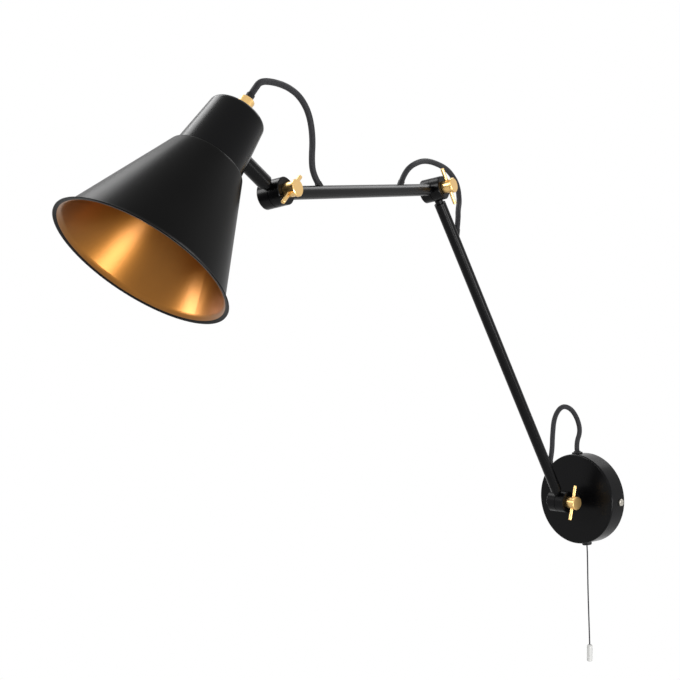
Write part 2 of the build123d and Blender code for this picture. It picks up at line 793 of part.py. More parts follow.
# ---------------------------------------------------------------- pull cord
pull_exit = switch_frame.origin + switch_frame.z_dir * switch_collar_height
pull_route = [
    switch_frame.origin - switch_frame.z_dir * pull_cord_inside,
    pull_exit,
    pull_exit + Vector(0.7, 0, -23),
    pull_exit + Vector(1.5, 0, -56),
    pull_exit + Vector(3.2, 0, -93),
    pull_exit + Vector(4.7, 0, -127),
]
bell_bore = pull_cord_diameter + 0.2
bell_seat = 3.0


def make_pull_bell():
    """Tapered plastic pull, its cord held in the bore at the top."""
    top = pull_route[-1] + Vector(0, 0, bell_seat)
    wide = bell_diameter / 2
    tip = bell_tip_diameter / 2
    profile = [
        (bell_bore / 2, 0), (tip, 0), (wide, -1.3), (wide, -bell_length + 0.8),
        (wide - 0.8, -bell_length), (0, -bell_length), (0, -bell_seat), (bell_bore / 2, -bell_seat),
    ]
    return Pos(*top) * revolved(profile)


# ---------------------------------------------------------------- the lamp's pieces
def hinge_pieces(name, fixed_arm, moving_arm, keeper_side, tail=stud_length, tail_diameter=stud_diameter):
    """The six pieces of one friction hinge; the fixed half lies away from the knob."""
    hinge, axis = hinges[name]
    bar = bar_directions[name]
    fixed_keeper = keeper_side == "fixed"
    moving_keeper = keeper_side == "moving"
    return {
        f"{name}_hinge_fixed_half": make_hinge_half(
            hinge, axis, fixed_arm, -1, fixed_keeper, tail, tail_diameter),
        f"{name}_hinge_moving_half": make_hinge_half(hinge, axis, moving_arm, 1, moving_keeper),
        f"{name}_friction_washer": make_friction_washer(hinge, axis),
        f"{name}_pivot_screw": make_pivot_screw(hinge, axis),
        f"{name}_clamp_knob": make_knob(hinge, axis, bar),
        f"{name}_tommy_bar": make_tommy_bar(hinge, axis, bar),
    }


lower_grubs = [
    grub_line(base_hinge, lower_dir, lower_side),
    grub_line(elbow_hinge, lower_dir * -1, lower_side),
]
upper_grubs = [
    grub_line(elbow_hinge, upper_dir, upper_side),
    grub_line(head_hinge, upper_dir * -1, upper_side),
]


def make_pieces():
    pieces = {
        "rose_cover": make_rose_cover(),
        "wall_bracket": make_wall_bracket(),
        "cover_side_screws": make_cover_side_screws(),
        "earth_screw": make_earth_screw(),
        "terminal_block": make_terminal_block(),
        "pull_switch_body": make_pull_switch_body(),
        "pull_switch_collar": make_pull_switch_collar(),
        "rose_cable_gland": make_rose_cable_gland(),
        "rose_cable_run": make_rose_cable_run(),
        "stem": make_stem(),
        "stem_locknut": make_stem_locknut(),
        "lower_arm_tube": make_arm_tube(
            base_hinge, lower_dir, lower_arm_length, [lower_low, lower_high], lower_grubs),
        "lower_arm_ferrules": make_ferrules([lower_low, lower_high], lower_dir),
        "lower_arm_cores": make_core_run(lower_low, lower_high),
        "lower_arm_grub_screws": make_grub_screws(lower_grubs, [False, True]),
        "upper_arm_tube": make_arm_tube(
            elbow_hinge, upper_dir, upper_arm_length, [upper_near, upper_far], upper_grubs),
        "upper_arm_ferrules": make_ferrules([upper_near, upper_far], upper_dir),
        "upper_arm_cores": make_core_run(upper_near, upper_far),
        "upper_arm_grub_screws": make_grub_screws(upper_grubs, [False, False]),
        "stub_tube": make_stub_tube(),
        "stub_grub_screw": make_grub_screws([stub_grub], [True]),
        "stub_bolt": make_stub_bolt(),
        "stub_saddle_washer": make_stub_saddle(),
        "stub_nut": make_stub_nut(),
        "lamp_cup": make_lamp_cup(),
        "cable_grip": make_cable_grip(),
        "holder_nipple": make_holder_nipple(),
        "nipple_nut": make_nipple_nut(),
        "cable_collar": make_cable_collar(),
        "head_cable_run": make_head_cable_run(),
        "lampholder_body": make_lampholder_body(),
        "lampholder_shell": make_lampholder_shell(),
        "lampholder_contact": make_lampholder_contact(),
        "shade": make_shade(),
        "shade_ring": make_shade_ring(),
        "base_cable_loop": cable_tube(base_loop_route, "base loop"),
        "elbow_cable_loop_lower": cable_tube(elbow_loop_lower_route, "elbow loop, lower part"),
        "elbow_cable_loop_upper": cable_tube(elbow_loop_upper_route, "elbow loop, upper part"),
        "head_cable_loop_arm": cable_tube(head_loop_arm_route, "head loop, arm part"),
        "head_cable_loop_cup": cable_tube(head_loop_cup_route, "head loop, cup part"),
        "pull_cord": cable_tube(pull_route, "pull cord", pull_cord_diameter),
        "pull_bell": make_pull_bell(),
    }
    pieces |= hinge_pieces("base", wall_out * -1, lower_dir, None, 10.0, 8.0)
    pieces |= hinge_pieces("elbow", lower_dir * -1, upper_dir, "fixed")
    pieces |= hinge_pieces("head", upper_dir * -1, stub_dir, "moving")
    return pieces


def main():
    os.makedirs("parts", exist_ok=True)
    for name, shape in make_pieces().items():
        export_step(shape, f"parts/{name}.step")


main()
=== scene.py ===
# %% [markdown]
# # An articulating wall lamp
# The real lamp is a black wall rose, two tube arms with brass-knobbed friction hinges, a braided
# cable that loops past each hinge, and a spun cone shade that is gold inside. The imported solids
# already have the right rigid shapes, so this script dresses them with materials, makes the
# flexible cables, and sets up a studio.

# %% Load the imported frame
import bpy
import json
from math import cos, pi, sin
from mathutils import Matrix, Vector


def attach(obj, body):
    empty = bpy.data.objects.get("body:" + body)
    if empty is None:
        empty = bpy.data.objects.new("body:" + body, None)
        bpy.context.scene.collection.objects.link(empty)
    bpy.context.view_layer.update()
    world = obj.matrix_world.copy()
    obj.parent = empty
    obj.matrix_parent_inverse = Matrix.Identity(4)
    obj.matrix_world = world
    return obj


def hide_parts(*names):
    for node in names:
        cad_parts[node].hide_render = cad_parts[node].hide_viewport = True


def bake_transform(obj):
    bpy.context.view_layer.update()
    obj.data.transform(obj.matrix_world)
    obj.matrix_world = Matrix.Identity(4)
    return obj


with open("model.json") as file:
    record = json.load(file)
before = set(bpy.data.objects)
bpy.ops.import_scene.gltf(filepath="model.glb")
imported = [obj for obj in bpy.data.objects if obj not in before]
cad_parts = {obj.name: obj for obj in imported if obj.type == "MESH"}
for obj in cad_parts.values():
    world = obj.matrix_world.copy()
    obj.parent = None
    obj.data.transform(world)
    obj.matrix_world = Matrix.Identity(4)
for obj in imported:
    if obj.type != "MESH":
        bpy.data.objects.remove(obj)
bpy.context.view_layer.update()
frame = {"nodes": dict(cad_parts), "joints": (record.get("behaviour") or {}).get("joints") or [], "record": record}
nodes = frame["nodes"]
joints = {joint["name"]: joint for joint in frame["joints"]}
mounts = {mount["name"]: mount for mount in frame["record"]["mounts"]}

# %% [markdown]
# ## Places on the lamp
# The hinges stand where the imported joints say, and the shade points the way the lampholder's
# mount does. These could be typed in again, but read from the frame they stay on the parts they
# belong to. The lengths of the two arms are a first check that everything is in metres.

# %% Read the hinges and the lampholder
base_hinge = Vector(joints["base_tilt"]["pos_m"])
elbow_hinge = Vector(joints["elbow_fold"]["pos_m"])
head_hinge = Vector(joints["head_tilt"]["pos_m"])
cup_down = Vector(mounts["lamp_socket"]["axis"]).normalized()
socket_middle = Vector(mounts["lamp_socket"]["pos_m"])
print("lower arm %.3f m" % (elbow_hinge - base_hinge).length)
print("upper arm %.3f m" % (head_hinge - elbow_hinge).length)

# %% [markdown]
# ## The camera
# A camera can be placed by eye, but then sizes read from the picture are guesses. Here the lens,
# place and turn were solved from the ellipses of the rose and the shade's rim and from the two
# arms. The photograph is square, so a 36 mm sensor and this lens give its angle of view.

# %% Place the camera
LENS_MM = 68.64
SENSOR_MM = 36.0
camera_place = Vector((0.99705, -1.32070, 0.23677))
camera_right = Vector((0.67052, 0.74189, 0.00024))
camera_up = Vector((-0.01813, 0.01606, 0.99971))
camera_back = camera_right.cross(camera_up).normalized()
camera_data = bpy.data.cameras.new("lamp_camera")
camera_data.lens = LENS_MM
camera_data.sensor_width = SENSOR_MM
camera = bpy.data.objects.new("lamp_camera", camera_data)
turn = Matrix((camera_right, camera_up, camera_back)).transposed().to_4x4()
camera.matrix_world = Matrix.Translation(camera_place) @ turn
bpy.context.scene.collection.objects.link(camera)
bpy.context.scene.camera = camera
print("camera at", tuple(round(c, 3) for c in camera_place))

# %% [markdown]
# ## Colours and nodes
# Colours are written as the sRGB hex values that a painter's chart would give, and one function
# turns them to the linear values that a shader needs. Another adds a node with its settings and
# its inputs, which keeps each material short enough to read. It uses a third, which also fills in
# the inputs of the surface shader that a new material already has.

# %% Colour and node helpers
def colour(code):
    """Linear RGBA of an sRGB hex colour."""
    channels = [int(code[i:i + 2], 16) / 255 for i in (1, 3, 5)]
    linear = [c / 12.92 if c <= 0.04045 else ((c + 0.055) / 1.055) ** 2.4 for c in channels]
    return (*linear, 1.0)


def fill_in(tree, node, **sockets):
    """Set inputs to values, or link them from outputs. _6 is the input numbered 6."""
    for name, value in sockets.items():
        socket = node.inputs[int(name[1:]) if name[0] == "_" else name.replace("_", " ")]
        if isinstance(value, bpy.types.NodeSocket):
            tree.links.new(value, socket)
        else:
            socket.default_value = value


def add(tree, kind, settings=None, **sockets):
    """Add a node. settings are its properties; sockets are values, or outputs to link from."""
    node = tree.nodes.new(kind)
    for name, value in (settings or {}).items():
        setattr(node, name, value)
    fill_in(tree, node, **sockets)
    return node


def new_material(name):
    """A new material, its tree and its surface shader."""
    material = bpy.data.materials.new(name)
    material.use_nodes = True
    return material, material.node_tree, material.node_tree.nodes["Principled BSDF"]


print("brass yellow #C8A15A is", [round(c, 3) for c in colour("#C8A15A")], "as linear light")

# %% [markdown]
# ## The cable's cotton braid
# The real cable is a round flex in a charcoal cotton braid, dull. Its tone is painted lighter on
# the crowns of the yarn, a painted highlight, and darker in the gaps between, painted shade. A
# picture of a weave could be wrapped round it, but would stretch in the bends. Here the tube carries
# a value named weave, which the tree below stores where its surface rises, and the material takes
# its painted shade and highlight from that, so that they always follow the relief.

# %% Braid material
MM = 0.001                  # one millimetre, in metres
FLECKS_PER_METRE = 900.0    # lighter clumps of fibre, about 1.1 mm wide
FLECK_SHARE = 0.45
FIBRES_PER_METRE = 5000.0   # real fibres are 0.02 mm, too fine to show, so drawn at 0.2 mm
braid, tree, shader = new_material("charcoal_cotton_braid")
weave = add(tree, "ShaderNodeAttribute", {"attribute_name": "weave"})
place = add(tree, "ShaderNodeTexCoord").outputs["Object"]
fleck = add(tree, "ShaderNodeTexNoise", Vector=place, Scale=FLECKS_PER_METRE, Detail=2.0)
mixed = add(tree, "ShaderNodeMath", {"operation": "MULTIPLY_ADD"},
            _0=fleck.outputs["Fac"], _1=FLECK_SHARE, _2=weave.outputs["Fac"])
tone = add(tree, "ShaderNodeValToRGB", Fac=mixed.outputs["Value"])
# the ramp paints shade into the low gaps and a highlight onto the raised crowns of the weave
painted_shade_gap, painted_highlight_crown = tone.color_ramp.elements
painted_shade_gap.color = colour("#1C1C1E")
painted_highlight_crown.color = colour("#424245")
fibre = add(tree, "ShaderNodeTexNoise", Vector=place, Scale=FIBRES_PER_METRE, Detail=1.0)
bump = add(tree, "ShaderNodeBump", Height=fibre.outputs["Fac"], Strength=0.25, Distance=0.1 * MM)
fill_in(tree, shader, Base_Color=tone.outputs["Color"], Roughness=0.55,
        Specular_IOR_Level=0.12, Normal=bump.outputs["Normal"])
print("made", braid.name)

# %% [markdown]
# ## A tree that braids a tube
# In the real braid the yarns wind both ways round the cable and cross. They could be modelled one
# by one, but on a 6 mm cable only the bumps of the crossings show. So a Geometry Nodes tree sweeps
# a ring along the cable's line and lifts the surface where yarns cross. The sizes are inputs,
# because the thin pull cord uses the same tree.

# %% Inputs of the tree
braid_tree = bpy.data.node_groups.new("braided_tube", "GeometryNodeTree")
tree_inputs = (
    ("Geometry", "Geometry", None),
    ("Radius", "Float", 3.0 * MM),
    ("Step", "Float", 0.3 * MM),     # between rings
    ("Carriers", "Float", 8.0),      # yarns each way round
    ("Lift", "Float", 0.09 * MM),    # height of a crossing
    ("Sides", "Int", 56),            # corners of a ring
    ("Material", "Material", None),
)
for name, kind, value in tree_inputs:
    socket = braid_tree.interface.new_socket(
        name, in_out="INPUT", socket_type="NodeSocket" + kind)
    if value is not None:
        socket.default_value = value
braid_tree.interface.new_socket("Geometry", in_out="OUTPUT", socket_type="NodeSocketGeometry")
group_input = braid_tree.nodes.new("NodeGroupInput")
given = group_input.outputs
print("inputs", [name for name, kind, value in tree_inputs])

# %% [markdown]
# ## Sweep the ring
# Curve to Mesh gives a plain tube. The weave has to know where it is on that tube, and the mesh no
# longer does, so the distance along the line and the share of the way round the ring are stored
# on the two curves before they are swept.

# %% A tube with its own coordinates
line = add(braid_tree, "GeometryNodeResampleCurve", {"mode": "LENGTH"},
           Curve=given["Geometry"], Length=given["Step"])
along = add(braid_tree, "GeometryNodeSplineParameter")
line = add(braid_tree, "GeometryNodeStoreNamedAttribute",
           {"data_type": "FLOAT", "domain": "POINT"},
           Geometry=line.outputs["Curve"], Name="along", Value=along.outputs["Length"])
ring = add(braid_tree, "GeometryNodeCurvePrimitiveCircle",
           Resolution=given["Sides"], Radius=given["Radius"])
around = add(braid_tree, "GeometryNodeSplineParameter")
ring = add(braid_tree, "GeometryNodeStoreNamedAttribute",
           {"data_type": "FLOAT", "domain": "POINT"},
           Geometry=ring.outputs["Curve"], Name="around", Value=around.outputs["Factor"])
tube = add(braid_tree, "GeometryNodeCurveToMesh", Curve=line.outputs["Geometry"],
           Profile_Curve=ring.outputs["Geometry"], Fill_Caps=True)
print("nodes for the tube", len(braid_tree.nodes))

# %% [markdown]
# ## The height of the weave
# The yarns of each way round are a wave that winds along the tube at 45 degrees: one cosine for
# each way. Their product is a chequer of bumps and hollows, as the crossings of a braid are.

# %% Two waves that cross
along = add(braid_tree, "GeometryNodeInputNamedAttribute", {"data_type": "FLOAT"}, Name="along")
around = add(braid_tree, "GeometryNodeInputNamedAttribute", {"data_type": "FLOAT"}, Name="around")
angle = add(braid_tree, "ShaderNodeMath", {"operation": "MULTIPLY"},
            _0=around.outputs["Attribute"], _1=2 * pi)
carriers = add(braid_tree, "ShaderNodeMath", {"operation": "MULTIPLY"},
               _0=angle.outputs["Value"], _1=given["Carriers"])
lay = add(braid_tree, "ShaderNodeMath", {"operation": "DIVIDE"},
          _0=given["Carriers"], _1=given["Radius"])
travel = add(braid_tree, "ShaderNodeMath", {"operation": "MULTIPLY"},
             _0=along.outputs["Attribute"], _1=lay.outputs["Value"])
waves = []
for way in ("ADD", "SUBTRACT"):
    phase = add(braid_tree, "ShaderNodeMath", {"operation": way},
                _0=carriers.outputs["Value"], _1=travel.outputs["Value"])
    wave = add(braid_tree, "ShaderNodeMath", {"operation": "COSINE"}, _0=phase.outputs["Value"])
    waves.append(wave.outputs["Value"])
height = add(braid_tree, "ShaderNodeMath", {"operation": "MULTIPLY"}, _0=waves[0], _1=waves[1])
print("nodes with the weave", len(braid_tree.nodes))

# %% [markdown]
# ## Lift and cover the tube
# A bump in the material would leave the cable's outline smooth, so the surface itself is moved
# along its normal. The height is kept as the value that the material reads.

# %% The end of the tree
tube = add(braid_tree, "GeometryNodeStoreNamedAttribute",
           {"data_type": "FLOAT", "domain": "POINT"},
           Geometry=tube.outputs["Mesh"], Name="weave", Value=height.outputs["Value"])
rise = add(braid_tree, "ShaderNodeMath", {"operation": "MULTIPLY"},
           _0=height.outputs["Value"], _1=given["Lift"])
normal = add(braid_tree, "GeometryNodeInputNormal")
offset = add(braid_tree, "ShaderNodeVectorMath", {"operation": "SCALE"},
             _0=normal.outputs["Normal"], Scale=rise.outputs["Value"])
tube = add(braid_tree, "GeometryNodeSetPosition", Geometry=tube.outputs["Geometry"],
           Offset=offset.outputs["Vector"])
tube = add(braid_tree, "GeometryNodeSetShadeSmooth", Geometry=tube.outputs["Geometry"])
tube = add(braid_tree, "GeometryNodeRealizeInstances", Geometry=tube.outputs["Geometry"])
tube = add(braid_tree, "GeometryNodeSetMaterial", Geometry=tube.outputs["Geometry"],
           Material=given["Material"])
add(braid_tree, "NodeGroupOutput", Geometry=tube.outputs["Geometry"])
print("braid tree has", len(braid_tree.nodes), "nodes")

# %% [markdown]
# ## Lines that bend as a cable does
# A cable bends evenly. A line through its points would show each one as a kink, so the line is a
# NURBS curve, which the points only draw towards them. Its order and its rule for the ends are
# set after the points, because set before, they don't hold.

# %% Smooth lines
def smooth_line(name, route):
    """One open NURBS spline, its control points given in metres."""
    data = bpy.data.curves.new(name, "CURVE")
    data.dimensions = "3D"
    data.resolution_u = 24   # steps between control points, so fine that no corner shows
    spline = data.splines.new("NURBS")
    spline.points.add(len(route) - 1)
    for point, place in zip(spline.points, route):
        point.co = (*place, 1.0)
    spline.order_u = 3
    spline.use_endpoint_u = True
    line = bpy.data.objects.new(name, data)
    bpy.context.scene.collection.objects.link(line)
    return line


def line_points(line):
    """The points that the smooth line passes through."""
    mesh = bpy.data.meshes.new_from_object(line)
    points = [vertex.co.copy() for vertex in mesh.vertices]
    bpy.data.meshes.remove(mesh)
    return points


def run_length(points):
    """Length of the line through these points."""
    return sum((b - a).length for a, b in zip(points, points[1:]))


print("both arms, from hinge to hinge, %.3f m"
      % run_length([base_hinge, elbow_hinge, head_hinge]))

# %% [markdown]
# ## From a line to a piece
# The tree runs as a modifier, whose inputs are set by the socket's identifier. A cable that kept
# its modifier could not be bent over a hinge, so its evaluated mesh becomes a plain piece and the
# line goes.

# %% Tubes on lines
def tube_on(line, name, material, **sizes):
    """The braid tree run on a line, as a plain mesh that stands at the origin."""
    modifier = line.modifiers.new("tube", "NODES")
    modifier.node_group = braid_tree
    settings = {**sizes, "Material": material}
    for item in braid_tree.interface.items_tree:
        if item.in_out == "INPUT" and item.name in settings:
            modifier[item.identifier] = settings[item.name]
    bpy.context.view_layer.update()
    graph = bpy.context.evaluated_depsgraph_get()
    mesh = bpy.data.meshes.new_from_object(line.evaluated_get(graph))
    mesh.name = name
    piece = bpy.data.objects.new(name, mesh)
    bpy.context.scene.collection.objects.link(piece)
    bpy.data.objects.remove(line)
    print(name, "faces", len(mesh.polygons))
    return piece


print("ready to make tubes")

# %% [markdown]
# ## Three loops of cable
# The first loop leaves the gland on top of the rose and enters the lower arm. The second passes
# the elbow and the third passes the head's hinge. The elbow and the head each turn about two axes,
# so each of these loops is made as two lengths that meet on a straight run, one at the swivel and
# one at the hinge. One length over both axes would be simpler, but a piece can be bent over one
# joint only.

# %% Routes of the loops
CABLE_DIAMETER = 6.0 * MM
loop_routes = {   # control points in metres, the same as in the part's source
    "base_loop": [
        (-0.00718, -0.01220, 0.05846), (-0.00840, -0.01220, 0.06839),
        (-0.00560, -0.00780, 0.08250), (-0.00490, -0.01450, 0.09900),
        (-0.00440, -0.02860, 0.11300), (-0.00380, -0.04800, 0.11720),
        (-0.00290, -0.06340, 0.10420), (-0.00140, -0.06840, 0.08200),
        (0.00000, -0.07085, 0.06275), (0.00000, -0.07398, 0.05221),
    ],
    "elbow_loop_upper": [
        (0.01768, -0.34748, 0.37192), (0.01367, -0.33869, 0.38205),
        (0.01260, -0.32550, 0.39190), (0.00250, -0.29500, 0.39980),
        (-0.00300, -0.27600, 0.39830),
    ],
    "elbow_loop_lower": [
        (-0.00300, -0.27600, 0.39830), (-0.00850, -0.25700, 0.39680),
        (-0.01400, -0.23830, 0.39120), (-0.01700, -0.22300, 0.37900),
        (-0.01400, -0.22260, 0.35980), (-0.00460, -0.23540, 0.34830),
        (0.00000, -0.24005, 0.33840), (0.00000, -0.24182, 0.32653),
    ],
    "head_loop_cup": [
        (0.09523, -0.61122, 0.42472), (0.09529, -0.60698, 0.43029),
        (0.09180, -0.59800, 0.43860), (0.08710, -0.57940, 0.44080),
        (0.08395, -0.56825, 0.44025),
    ],
    "head_loop_arm": [
        (0.08395, -0.56825, 0.44025), (0.08080, -0.55710, 0.43970),
        (0.07450, -0.53680, 0.43370), (0.06930, -0.52130, 0.42030),
        (0.06680, -0.51460, 0.39920), (0.06660, -0.51610, 0.37550),
        (0.06238, -0.50992, 0.36401), (0.06201, -0.50426, 0.35702),
    ],
}
loops = {}
for name, route in loop_routes.items():
    line = smooth_line(name + "_line", route)
    line_points(line)
    loops[name] = tube_on(line, name, braid, Radius=CABLE_DIAMETER / 2)

# %% [markdown]
# ## Put the loops in place
# A loop is held at both ends by different bodies, and the plan below names the two. Here its mesh
# is not blended between them: the imported loop is hidden and the new one is baked where it lies.

loop_plan = {
    "base_loop": ("wall_base", "lower_arm", "base_cable_loop"),
    "elbow_loop_lower": ("elbow_joint", "lower_arm", "elbow_cable_loop_lower"),
    "elbow_loop_upper": ("upper_arm", "elbow_joint", "elbow_cable_loop_upper"),
    "head_loop_arm": ("head_joint", "upper_arm", "head_cable_loop_arm"),
    "head_loop_cup": ("lamp_head", "head_joint", "head_cable_loop_cup"),
}
for name, (first, last, node) in loop_plan.items():
    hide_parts(node)
    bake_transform(loops[name])
    print(name, "bends from", first, "to", last)

# %% [markdown]
# ## The pull cord's nylon
# The cord is fine twisted nylon, dark grey, with a slight sheen from its filaments. At 1.6 mm the
# filaments can't be seen one by one, so the twist alone sets the tone: painted shade in its grooves
# and a painted highlight on its crowns.

# %% Pull cord material
cord_grey, tree, shader = new_material("dark_grey_nylon_cord")
weave = add(tree, "ShaderNodeAttribute", {"attribute_name": "weave"})
tone = add(tree, "ShaderNodeValToRGB", Fac=weave.outputs["Fac"])
# the ramp paints shade into the grooves of the twist and a highlight onto its crowns
painted_shade_groove, painted_highlight_crown = tone.color_ramp.elements
painted_shade_groove.color = colour("#1E1F22")
painted_highlight_crown.color = colour("#3C3D41")
fill_in(tree, shader, Base_Color=tone.outputs["Color"], Roughness=0.6, Specular_IOR_Level=0.2)
print("made", cord_grey.name)

# %% [markdown]
# ## The pull cord
# It leaves the switch at the bottom of the rose and hangs under the pull of its small bell, with
# the slight set of a cord that has been wound. A straight rod would do for its size, but the eye
# finds the set. It is the same tube tree, with fewer yarns and sides, since it is thin.

# %% Make the pull cord
PULL_DIAMETER = 1.6 * MM
pull_points = [   # control points in metres, the same as in the part's source
    (0.00680, -0.01220, -0.04296), (0.00918, -0.01220, -0.05798),
    (0.00988, -0.01220, -0.08098), (0.01068, -0.01220, -0.11398),
    (0.01238, -0.01220, -0.15098), (0.01388, -0.01220, -0.18498),
]
line = smooth_line("pull_line", pull_points)
pull_line = line_points(line)
pull_cord = tube_on(line, "pull_cord_twist", cord_grey, Radius=PULL_DIAMETER / 2,
                    Step=0.4 * MM, Carriers=3.0, Lift=0.06 * MM, Sides=18)
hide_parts("pull_cord")
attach(pull_cord, "pull")
print("pull cord length %.1f mm" % (run_length(pull_line) / MM))

# %% [markdown]
# ## Satin black powder coat
# The arms, the rose and the cup are steel and the hinges are zinc castings, all powder coated.
# Powder melts to a skin with a faint orange peel, so the reflection of a window is soft and a
# little broken. A black of one even tone would look cut out, so the tone drifts slowly, and the
# peel moves both the gloss and the surface by a hair.

# %% Powder coat
TONE_DRIFT = 18.0 * MM
ORANGE_PEEL = 1.6 * MM    # its waves are 1 to 3 mm wide on a real coat
satin_black, tree, shader = new_material("satin_black_powder_coat")
place = add(tree, "ShaderNodeTexCoord").outputs["Object"]
drift = add(tree, "ShaderNodeTexNoise", Vector=place, Scale=1 / TONE_DRIFT, Detail=3.0)
# of a Mix node, inputs 6 and 7 are the two colours and output 2 is what they give
tone = add(tree, "ShaderNodeMix", {"data_type": "RGBA"}, Factor=drift.outputs["Fac"],
           _6=colour("#050506"), _7=colour("#080809"))
peel = add(tree, "ShaderNodeTexNoise", Vector=place, Scale=1 / ORANGE_PEEL, Detail=2.0)
gloss = add(tree, "ShaderNodeMapRange", Value=peel.outputs["Fac"], To_Min=0.23, To_Max=0.27)
bump = add(tree, "ShaderNodeBump", Height=peel.outputs["Fac"], Strength=0.12,
           Distance=0.003 * MM)
fill_in(tree, shader, Base_Color=tone.outputs[2], Roughness=gloss.outputs["Result"],
        Specular_IOR_Level=0.1, Normal=bump.outputs["Normal"])
print("made", satin_black.name)

# %% [markdown]
# ## The two-tone shade
# The shade is one spun sheet, sprayed black outside and metallic gold inside. It could be cut into
# two pieces, but the sheet is one, so one material holds both paints and tells them apart by
# place. The black is a little flatter than on the arms and has a fine tooth.

# %% Black outside
TOOTH = 0.9 * MM          # about 0.2 mm on the real paint, too fine to show
BLACK_DRIFT = 40.0 * MM
shade_paint = bpy.data.materials.new("matt_black_and_gold_lacquer")
shade_paint.use_nodes = True
tree = shade_paint.node_tree
tree.nodes.clear()
place = add(tree, "ShaderNodeTexCoord").outputs["Object"]
tooth = add(tree, "ShaderNodeTexNoise", Vector=place, Scale=1 / TOOTH, Detail=2.0)
gloss = add(tree, "ShaderNodeMapRange", Value=tooth.outputs["Fac"], To_Min=0.32, To_Max=0.38)
bump = add(tree, "ShaderNodeBump", Height=tooth.outputs["Fac"], Strength=0.3,
           Distance=0.02 * MM)
drift = add(tree, "ShaderNodeTexNoise", Vector=place, Scale=1 / BLACK_DRIFT, Detail=3.0)
black = add(tree, "ShaderNodeMix", {"data_type": "RGBA"}, Factor=drift.outputs["Fac"],
            _6=colour("#040404"), _7=colour("#080808"))
outside = add(tree, "ShaderNodeBsdfPrincipled", Base_Color=black.outputs[2],
              Roughness=gloss.outputs["Result"], Specular_IOR_Level=0.055,
              Normal=bump.outputs["Normal"])
print("outside paint has", len(tree.nodes), "nodes")

# %% [markdown]
# ## The gold inside
# Gold lacquer is metal flakes under a clear skin. A plain polished metal would mirror the room,
# where the lacquer throws back broad streaks of light with deep amber between them. So a metal
# base in amber lies under a clear coat that is as soft as the edges of the streaks.

# %% Gold lacquer
FLAKE = 0.5 * MM          # the real flakes are 0.05 mm, too fine to show
GOLD_DRIFT = 30.0 * MM
flake = add(tree, "ShaderNodeTexNoise", Vector=place, Scale=1 / FLAKE, Detail=2.0)
drift = add(tree, "ShaderNodeTexNoise", Vector=place, Scale=1 / GOLD_DRIFT, Detail=2.0)
gold = add(tree, "ShaderNodeMix", {"data_type": "RGBA"}, Factor=drift.outputs["Fac"],
           _6=colour("#7C4C06"), _7=colour("#89560D"))
gloss = add(tree, "ShaderNodeMapRange", Value=flake.outputs["Fac"], To_Min=0.3, To_Max=0.4)
bump = add(tree, "ShaderNodeBump", Height=flake.outputs["Fac"], Strength=0.2,
           Distance=0.01 * MM)
inside = add(tree, "ShaderNodeBsdfPrincipled", Base_Color=gold.outputs[2], Metallic=1.0,
             Roughness=gloss.outputs["Result"], Coat_Weight=0.5, Coat_Roughness=0.3,
             Normal=bump.outputs["Normal"])
print("both paints have", len(tree.nodes), "nodes")

# %% [markdown]
# ## Where the gold ends
# The black wraps over the rolled lip, and the gold starts inside it. The mesh's faces could be
# given two materials one by one, but the line would then follow their edges and not the lip. So
# the paint is gold wherever a face looks towards the mouth and lies nearer to the axis than the
# lip does.

# %% Tell the two sides apart
GOLD_RADIUS = 79.7 * MM
facing = add(tree, "ShaderNodeNewGeometry")
turned = add(tree, "ShaderNodeVectorTransform",
             {"vector_type": "NORMAL", "convert_from": "WORLD", "convert_to": "OBJECT"},
             Vector=facing.outputs["True Normal"])
side = add(tree, "ShaderNodeVectorMath", {"operation": "DOT_PRODUCT"},
           _0=turned.outputs["Vector"], _1=tuple(cup_down))
looks_in = add(tree, "ShaderNodeMath", {"operation": "GREATER_THAN"},
               _0=side.outputs["Value"], _1=0.0)
from_socket = add(tree, "ShaderNodeVectorMath", {"operation": "SUBTRACT"},
                  _0=place, _1=tuple(socket_middle))
off_axis = add(tree, "ShaderNodeVectorMath", {"operation": "CROSS_PRODUCT"},
               _0=from_socket.outputs["Vector"], _1=tuple(cup_down))
radius = add(tree, "ShaderNodeVectorMath", {"operation": "LENGTH"}, _0=off_axis.outputs["Vector"])
within = add(tree, "ShaderNodeMath", {"operation": "LESS_THAN"},
             _0=radius.outputs["Value"], _1=GOLD_RADIUS)
is_gold = add(tree, "ShaderNodeMath", {"operation": "MULTIPLY"},
              _0=looks_in.outputs["Value"], _1=within.outputs["Value"])
both = add(tree, "ShaderNodeMixShader", Fac=is_gold.outputs["Value"],
           _1=outside.outputs["BSDF"], _2=inside.outputs["BSDF"])
add(tree, "ShaderNodeOutputMaterial", Surface=both.outputs["Shader"])
print("made", shade_paint.name)

# %% [markdown]
# ## Metals
# The knobs, cross bars and the cable grip are turned brass, brushed to a satin. The hidden
# fastenings are zinc plated, the cover's two side screws and the lampholder's shell are nickel
# plated, and its contact is stamped brass. A tool's marks are about 0.1 mm apart, too fine to
# show, so the grain is drawn five to nine times as coarse and varies tone and gloss a little.

# %% Metals of the fittings
GLOSS_SPREAD = 0.04


def make_fitting_metal(name, code, light_code, roughness, grain_size, relief=0.2):
    """A satin or plated metal, with small changes of tone and gloss at grain_size."""
    material, tree, shader = new_material(name)
    place = add(tree, "ShaderNodeTexCoord").outputs["Object"]
    grain = add(tree, "ShaderNodeTexNoise", Vector=place, Scale=1 / grain_size, Detail=3.0)
    tone = add(tree, "ShaderNodeMix", {"data_type": "RGBA"}, Factor=grain.outputs["Fac"],
               _6=colour(code), _7=colour(light_code))
    gloss = add(tree, "ShaderNodeMapRange", Value=grain.outputs["Fac"],
                To_Min=roughness - GLOSS_SPREAD, To_Max=roughness + GLOSS_SPREAD)
    bump = add(tree, "ShaderNodeBump", Height=grain.outputs["Fac"], Strength=relief,
               Distance=0.02 * MM)
    fill_in(tree, shader, Base_Color=tone.outputs[2], Metallic=1.0,
            Roughness=gloss.outputs["Result"], Normal=bump.outputs["Normal"])
    return material


